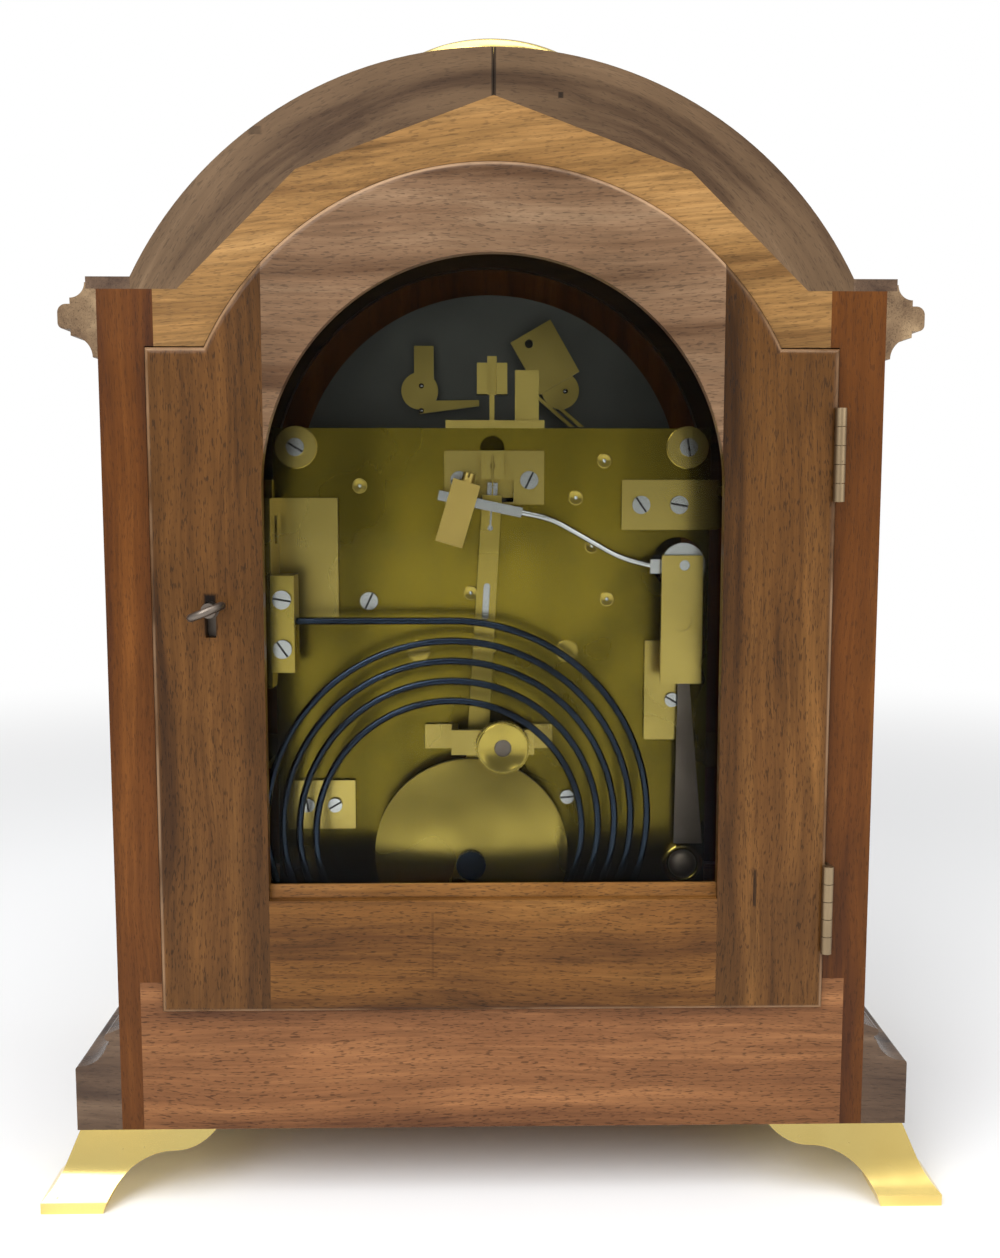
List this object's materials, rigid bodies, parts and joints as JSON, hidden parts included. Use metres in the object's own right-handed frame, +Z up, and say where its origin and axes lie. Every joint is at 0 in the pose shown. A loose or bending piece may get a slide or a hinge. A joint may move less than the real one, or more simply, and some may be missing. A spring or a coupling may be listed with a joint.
{
  "type": "bracket clock",
  "caption": "Arched-top wooden bracket clock with a glazed rear door, carrying handle, pendulum movement, coil gong and hammer, brass feet and a dial behind a glazed front door.",
  "frame": {"origin": "centre of the overall box, on the surface the feet stand on", "axes": "+Z up, +Y towards the glazed rear door, -Y towards the dial, +X to the right as seen from the dial side"},
  "size_m": [0.3476, 0.2178, 0.4547],
  "materials": {
    "case_mahogany": "polished",
    "door_walnut": "polished",
    "front_door_wood": "polished",
    "roof_wood": "polished",
    "arch_oak": "polished",
    "dark_moulding": "polished",
    "floor_pine": "matt",
    "cast_brass": "polished",
    "bezel_brass": "polished",
    "hinge_brass": "aged",
    "plate_brass": "brushed",
    "turned_brass": "satin",
    "wheel_brass": "satin",
    "silvered": "satin",
    "polished_steel": "polished",
    "lock_steel": "aged",
    "blued_steel": "blued",
    "black_steel": "oiled",
    "clear_glass": "clear"
  },
  "bodies": {
    "case": {"arch_levers": "plate_brass", "back_cock": "plate_brass", "backplate": "plate_brass", "base_moulding": "dark_moulding", "case_brackets": "plate_brass", "case_hinges": "hinge_brass", "case_rails": "case_mahogany", "case_side_left": "case_mahogany", "case_side_right": "case_mahogany", "cornices": "dark_moulding", "dial_plate": "plate_brass", "dial_rings": "silvered", "feet": "cast_brass", "floor_board": "floor_pine", "front_arch_board": "arch_oak", "frontplate": "plate_brass", "gong": "blued_steel", "gong_block": "turned_brass", "hammer_bridge": "plate_brass", "hammer_spring": "polished_steel", "handle_posts": "cast_brass", "pillars": "plate_brass", "plate_brackets": "plate_brass", "plate_screws": "polished_steel", "rear_arch_board": "arch_oak", "roof_half_left": "roof_wood", "roof_half_right": "roof_wood", "shoulder_caps": "roof_wood"},
    "handle": {"carrying_handle": "cast_brass"},
    "rear_door": {"rear_door_stile_left": "door_walnut", "rear_door_stile_right": "door_walnut", "rear_door_arch_rail": "door_walnut", "rear_door_bottom_rail": "door_walnut", "rear_glass": "clear_glass", "rear_lock": "lock_steel", "rear_door_hinges": "hinge_brass"},
    "rear_key": {"rear_key": "lock_steel"},
    "lock_bolt": {"rear_lock_bolt": "lock_steel"},
    "front_door": {"front_door_frame": "front_door_wood", "front_bezel": "bezel_brass", "front_glass": "clear_glass", "front_door_hinges": "hinge_brass"},
    "pendulum": {"pendulum_rod": "turned_brass", "pendulum_bob": "turned_brass"},
    "bob_screw": {"bob_screw": "black_steel"},
    "crutch": {"crutch": "polished_steel"},
    "gong_hammer": {"gong_hammer": "polished_steel", "hammer_head": "turned_brass"},
    "holdfast": {"holdfast_knob": "turned_brass"},
    "centre": {"centre_wheel": "wheel_brass", "minute_hand": "blued_steel"},
    "hour": {"hour_wheel": "wheel_brass", "hour_hand": "blued_steel"},
    "minute_wheel": {"minute_wheel": "wheel_brass"},
    "going_barrel": {"going_barrel": "wheel_brass"},
    "third_wheel": {"third_wheel": "wheel_brass"},
    "escape_wheel": {"escape_wheel": "wheel_brass"},
    "strike_barrel": {"strike_barrel": "wheel_brass"},
    "strike_silent_hand": {"strike_silent_hand": "blued_steel"},
    "regulation_hand": {"regulation_hand": "blued_steel"}
  },
  "joints": [
    {"name": "handle_fold", "type": "hinge", "parent": "case", "child": "handle", "pos_m": [0, 0.0049, 0.439], "axis": [1, 0, 0], "range_deg": [0, 142]},
    {"name": "rear_door_swing", "type": "hinge", "parent": "case", "child": "rear_door", "pos_m": [-0.1277, 0.0953, 0.2], "axis": [0, 0, 1], "range_deg": [0, 110]},
    {"name": "rear_key_turn", "type": "hinge", "parent": "rear_door", "child": "rear_key", "pos_m": [0.1053, 0.0939, 0.2318], "axis": [0, 1, 0], "range_deg": [0, 90]},
    {"name": "lock_bolt_throw", "type": "slide", "parent": "rear_door", "child": "lock_bolt", "axis": [1, 0, 0], "range_m": [0, 0.005]},
    {"name": "front_door_swing", "type": "hinge", "parent": "case", "child": "front_door", "pos_m": [-0.1277, -0.0855, 0.2], "axis": [0, 0, -1], "range_deg": [0, 110]},
    {"name": "pendulum_swing", "type": "hinge", "parent": "case", "child": "pendulum", "pos_m": [0, 0.0573, 0.277], "axis": [0, 1, 0], "range_deg": [-0.67, 7.33]},
    {"name": "bob_screw_turn", "type": "hinge", "parent": "pendulum", "child": "bob_screw", "pos_m": [0.00876, 0.0659, 0.12646], "axis": [0, 1, 0], "continuous": true},
    {"name": "crutch_swing", "type": "hinge", "parent": "case", "child": "crutch", "pos_m": [0, 0.0539, 0.277], "axis": [0, 1, 0], "range_deg": [-0.67, 7.33]},
    {"name": "hammer_strike", "type": "hinge", "parent": "case", "child": "gong_hammer", "pos_m": [-0.0754, 0.0619, 0.2467], "axis": [0, 1, 0], "range_deg": [-4, 16.5], "stiffness_Nm_per_rad": 0.35, "springref_deg": -3.44},
    {"name": "holdfast_turn", "type": "hinge", "parent": "case", "child": "holdfast", "pos_m": [-0.0039, 0.0669, 0.1746], "axis": [0, 1, 0], "continuous": true},
    {"name": "minute_turn", "type": "hinge", "parent": "case", "child": "centre", "pos_m": [0, -0.0465, 0.212], "axis": [0, 1, 0], "continuous": true},
    {"name": "hour_turn", "type": "hinge", "parent": "case", "child": "hour", "pos_m": [0, -0.0465, 0.212], "axis": [0, 1, 0], "continuous": true},
    {"name": "minute_wheel_turn", "type": "hinge", "parent": "case", "child": "minute_wheel", "pos_m": [0.0144, -0.0305, 0.2012], "axis": [0, 1, 0], "continuous": true},
    {"name": "going_barrel_turn", "type": "hinge", "parent": "case", "child": "going_barrel", "pos_m": [0.0302, 0.0299, 0.211], "axis": [0, 1, 0], "continuous": true},
    {"name": "third_wheel_turn", "type": "hinge", "parent": "case", "child": "third_wheel", "pos_m": [0.0087, -0.0001, 0.2345], "axis": [0, 1, 0], "continuous": true},
    {"name": "escape_wheel_turn", "type": "hinge", "parent": "case", "child": "escape_wheel", "pos_m": [0, 0.0049, 0.254], "axis": [0, 1, 0], "continuous": true},
    {"name": "strike_barrel_turn", "type": "hinge", "parent": "case", "child": "strike_barrel", "pos_m": [-0.0302, 0.0299, 0.211], "axis": [0, 1, 0], "continuous": true},
    {"name": "strike_silent_turn", "type": "hinge", "parent": "case", "child": "strike_silent_hand", "pos_m": [-0.0325, -0.0485, 0.3215], "axis": [0, 1, 0], "range_deg": [0, 40]},
    {"name": "regulation_turn", "type": "hinge", "parent": "case", "child": "regulation_hand", "pos_m": [0.0325, -0.0485, 0.3215], "axis": [0, 1, 0], "range_deg": [-30, 30]}
  ],
  "couplings": [
    {"joint": "rear_key_turn", "follows": "lock_bolt_throw", "rad_per_m": 314.16},
    {"joint": "crutch_swing", "follows": "pendulum_swing", "ratio": 1},
    {"joint": "hour_turn", "follows": "minute_turn", "ratio": 0.083333},
    {"joint": "minute_wheel_turn", "follows": "minute_turn", "ratio": -0.33333},
    {"joint": "going_barrel_turn", "follows": "minute_turn", "ratio": -0.16667},
    {"joint": "third_wheel_turn", "follows": "minute_turn", "ratio": -6},
    {"joint": "escape_wheel_turn", "follows": "minute_turn", "ratio": 36}
  ]
}
